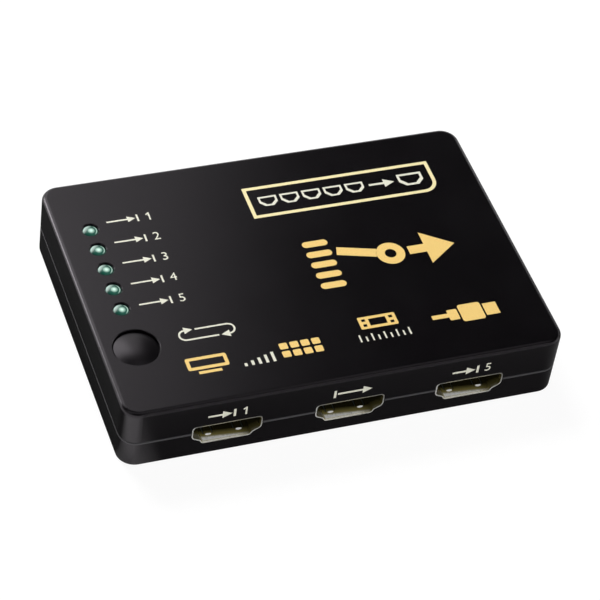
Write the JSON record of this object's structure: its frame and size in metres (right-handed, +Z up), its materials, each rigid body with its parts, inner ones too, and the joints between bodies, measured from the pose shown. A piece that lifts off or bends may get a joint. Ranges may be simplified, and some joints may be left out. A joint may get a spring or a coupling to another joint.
{
  "type": "video switch box",
  "caption": "Flat black switch box with video sockets along both long sides, indicator lamps, a round select button, and power and sensor jacks in one end.",
  "frame": {"origin": "middle of the base, on the table", "axes": "+X to the right along the width, +Y to the back, +Z up; the lamps and button are at -X"},
  "size_m": [0.094, 0.066, 0.015],
  "materials": {
    "housing_plastic": "black moulded plastic with a fine satin grain",
    "button_plastic": "black, semi-gloss",
    "screw_steel": "black zinc",
    "board_laminate": "black solder mask on glass-filled laminate",
    "lamp_lens": "clear tinted green resin",
    "socket_plastic": "black moulded plastic",
    "socket_steel": "nickel-plated folded sheet",
    "contact_gold": "gold-plated",
    "jack_plastic": "black moulded plastic",
    "chip_resin": "black moulding resin",
    "can_aluminium": "drawn can",
    "capacitor_ceramic": "bare ceramic",
    "resistor_ceramic": "glazed ceramic",
    "tinned_metal": "tinned",
    "print_gold": "screen-printed gold ink",
    "print_cream": "screen-printed cream ink"
  },
  "bodies": {
    "housing": {"top_shell": "housing_plastic", "bottom_shell": "housing_plastic", "case_screws": "screw_steel", "main_board": "board_laminate", "led_1": "lamp_lens", "led_2": "lamp_lens", "led_3": "lamp_lens", "led_4": "lamp_lens", "led_5": "lamp_lens", "led_leads": "tinned_metal", "input1_shell": "socket_steel", "input1_insulator": "socket_plastic", "input1_contacts": "contact_gold", "input2_shell": "socket_steel", "input2_insulator": "socket_plastic", "input2_contacts": "contact_gold", "input3_shell": "socket_steel", "input3_insulator": "socket_plastic", "input3_contacts": "contact_gold", "input4_shell": "socket_steel", "input4_insulator": "socket_plastic", "input4_contacts": "contact_gold", "input5_shell": "socket_steel", "input5_insulator": "socket_plastic", "input5_contacts": "contact_gold", "output_shell": "socket_steel", "output_insulator": "socket_plastic", "output_contacts": "contact_gold", "tact_base": "jack_plastic", "tact_cover": "tinned_metal", "tact_dome": "contact_gold", "tact_legs": "tinned_metal", "power_jack_body": "jack_plastic", "power_jack_pin": "contact_gold", "power_jack_contacts": "tinned_metal", "sensor_jack_body": "jack_plastic", "sensor_jack_contacts": "tinned_metal", "switch_chip": "chip_resin", "switch_chip_leads": "tinned_metal", "control_chip": "chip_resin", "control_chip_leads": "tinned_metal", "regulator": "chip_resin", "regulator_leads": "tinned_metal", "bulk_capacitor": "can_aluminium", "bulk_capacitor_base": "jack_plastic", "chip_capacitors": "capacitor_ceramic", "chip_resistors": "resistor_ceramic"},
    "button": {"select_button": "button_plastic"},
    "plunger": {"tact_plunger": "jack_plastic"}
  },
  "joints": [
    {"name": "button_press", "type": "slide", "parent": "housing", "child": "button", "axis": [0, 0, -1], "range_m": [0, 0.0003], "stiffness_N_per_m": 5000, "springref_m": -0.0001},
    {"name": "plunger_press", "type": "slide", "parent": "housing", "child": "plunger", "axis": [0, 0, -1], "range_m": [0, 0.0003], "deforming": ["tact_dome"]}
  ],
  "couplings": [
    {"joint": "plunger_press", "follows": "button_press", "ratio": 1}
  ]
}
